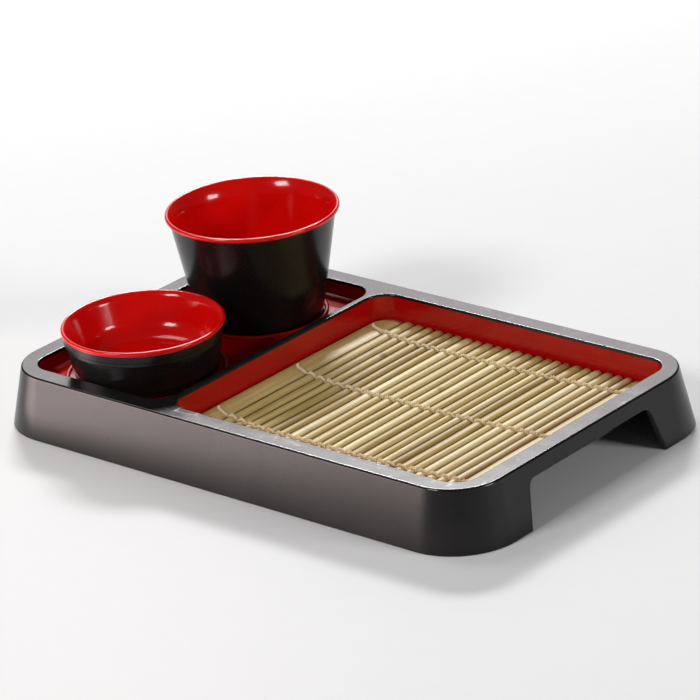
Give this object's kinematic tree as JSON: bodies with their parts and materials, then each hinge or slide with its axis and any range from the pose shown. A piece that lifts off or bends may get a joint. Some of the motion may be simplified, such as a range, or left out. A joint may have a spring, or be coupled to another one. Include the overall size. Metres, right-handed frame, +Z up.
{
  "type": "noodle plate",
  "caption": "Cold-noodle serving tray with two compartments and hand holds, a removable slatted bamboo mat that rolls up, a dipping cup and a condiment dish.",
  "frame": {"origin": "middle of the tray's foot, on the table", "axes": "+X along the tray from the cup and dish to the far end of the mat, +Y across it from the dish to the cup, +Z up"},
  "size_m": [0.32, 0.204, 0.0835],
  "materials": {
    "black_plastic": "polished black tableware plastic",
    "red_plastic": "polished red tableware plastic",
    "bamboo": "dry split bamboo, unvarnished",
    "cotton_string": "unbleached twisted cotton"
  },
  "bodies": {
    "tray": {"tray_body": "black_plastic", "lining_large": "red_plastic", "lining_small": "red_plastic"},
    "cup": {"cup_shell": "black_plastic", "cup_lining": "red_plastic"},
    "dish": {"dish_shell": "black_plastic", "dish_lining": "red_plastic"},
    "mat": {"slat_12": "bamboo", "slat_13": "bamboo", "slat_14": "bamboo", "string_front_a": "cotton_string", "string_front_b": "cotton_string", "string_middle_a": "cotton_string", "string_middle_b": "cotton_string", "string_back_a": "cotton_string", "string_back_b": "cotton_string"},
    "slat_01": {"slat_01": "bamboo"},
    "slats_02_03": {"slat_02": "bamboo", "slat_03": "bamboo"},
    "slats_04_05": {"slat_04": "bamboo", "slat_05": "bamboo"},
    "slats_06_07": {"slat_06": "bamboo", "slat_07": "bamboo"},
    "slats_08_09": {"slat_08": "bamboo", "slat_09": "bamboo"},
    "slats_10_11": {"slat_10": "bamboo", "slat_11": "bamboo"},
    "slats_15_16": {"slat_15": "bamboo", "slat_16": "bamboo"},
    "slats_17_18": {"slat_17": "bamboo", "slat_18": "bamboo"},
    "slats_19_20": {"slat_19": "bamboo", "slat_20": "bamboo"},
    "slats_21_22": {"slat_21": "bamboo", "slat_22": "bamboo"},
    "slats_23_24": {"slat_23": "bamboo", "slat_24": "bamboo"},
    "slat_25": {"slat_25": "bamboo"}
  },
  "joints": [
    {"name": "cup_lift", "type": "slide", "parent": "tray", "child": "cup", "axis": [0, 0, 1], "range_m": [0, 0.1]},
    {"name": "dish_lift", "type": "slide", "parent": "tray", "child": "dish", "axis": [0, 0, 1], "range_m": [0, 0.08]},
    {"name": "mat_lift", "type": "slide", "parent": "tray", "child": "mat", "axis": [0, 0, 1], "range_m": [0, 0.09]},
    {"name": "mat_roll", "type": "hinge", "parent": "mat", "child": "slats_15_16", "pos_m": [0.05846, 0, 0.01777], "axis": [0, -1, 0], "range_deg": [0, 22], "deforming": ["string_front_a", "string_front_b", "string_middle_a", "string_middle_b", "string_back_a", "string_back_b"]},
    {"name": "roll_16_17", "type": "hinge", "parent": "slats_15_16", "child": "slats_17_18", "pos_m": [0.07078, 0, 0.01777], "axis": [0, -1, 0], "range_deg": [0, 22]},
    {"name": "roll_18_19", "type": "hinge", "parent": "slats_17_18", "child": "slats_19_20", "pos_m": [0.08231, 0, 0.01777], "axis": [0, -1, 0], "range_deg": [0, 22]},
    {"name": "roll_20_21", "type": "hinge", "parent": "slats_19_20", "child": "slats_21_22", "pos_m": [0.09532, 0, 0.01777], "axis": [0, -1, 0], "range_deg": [0, 22]},
    {"name": "roll_22_23", "type": "hinge", "parent": "slats_21_22", "child": "slats_23_24", "pos_m": [0.10872, 0, 0.01777], "axis": [0, -1, 0], "range_deg": [0, 22]},
    {"name": "roll_24_25", "type": "hinge", "parent": "slats_23_24", "child": "slat_25", "pos_m": [0.12078, 0, 0.01777], "axis": [0, -1, 0], "range_deg": [0, 22]},
    {"name": "roll_11_12", "type": "hinge", "parent": "mat", "child": "slats_10_11", "pos_m": [0.03867, 0, 0.01777], "axis": [0, 1, 0], "range_deg": [0, 22]},
    {"name": "roll_09_10", "type": "hinge", "parent": "slats_10_11", "child": "slats_08_09", "pos_m": [0.02522, 0, 0.01777], "axis": [0, 1, 0], "range_deg": [0, 22]},
    {"name": "roll_07_08", "type": "hinge", "parent": "slats_08_09", "child": "slats_06_07", "pos_m": [0.0118, 0, 0.01777], "axis": [0, 1, 0], "range_deg": [0, 22]},
    {"name": "roll_05_06", "type": "hinge", "parent": "slats_06_07", "child": "slats_04_05", "pos_m": [-0.00078, 0, 0.01777], "axis": [0, 1, 0], "range_deg": [0, 22]},
    {"name": "roll_03_04", "type": "hinge", "parent": "slats_04_05", "child": "slats_02_03", "pos_m": [-0.01435, 0, 0.01777], "axis": [0, 1, 0], "range_deg": [0, 22]},
    {"name": "roll_01_02", "type": "hinge", "parent": "slats_02_03", "child": "slat_01", "pos_m": [-0.02918, 0, 0.01777], "axis": [0, 1, 0], "range_deg": [0, 22]}
  ],
  "couplings": [
    {"joint": "roll_16_17", "follows": "mat_roll", "ratio": 1},
    {"joint": "roll_18_19", "follows": "mat_roll", "ratio": 1},
    {"joint": "roll_20_21", "follows": "mat_roll", "ratio": 1},
    {"joint": "roll_22_23", "follows": "mat_roll", "ratio": 1},
    {"joint": "roll_24_25", "follows": "mat_roll", "ratio": 1},
    {"joint": "roll_11_12", "follows": "mat_roll", "ratio": 1},
    {"joint": "roll_09_10", "follows": "mat_roll", "ratio": 1},
    {"joint": "roll_07_08", "follows": "mat_roll", "ratio": 1},
    {"joint": "roll_05_06", "follows": "mat_roll", "ratio": 1},
    {"joint": "roll_03_04", "follows": "mat_roll", "ratio": 1},
    {"joint": "roll_01_02", "follows": "mat_roll", "ratio": 1}
  ]
}
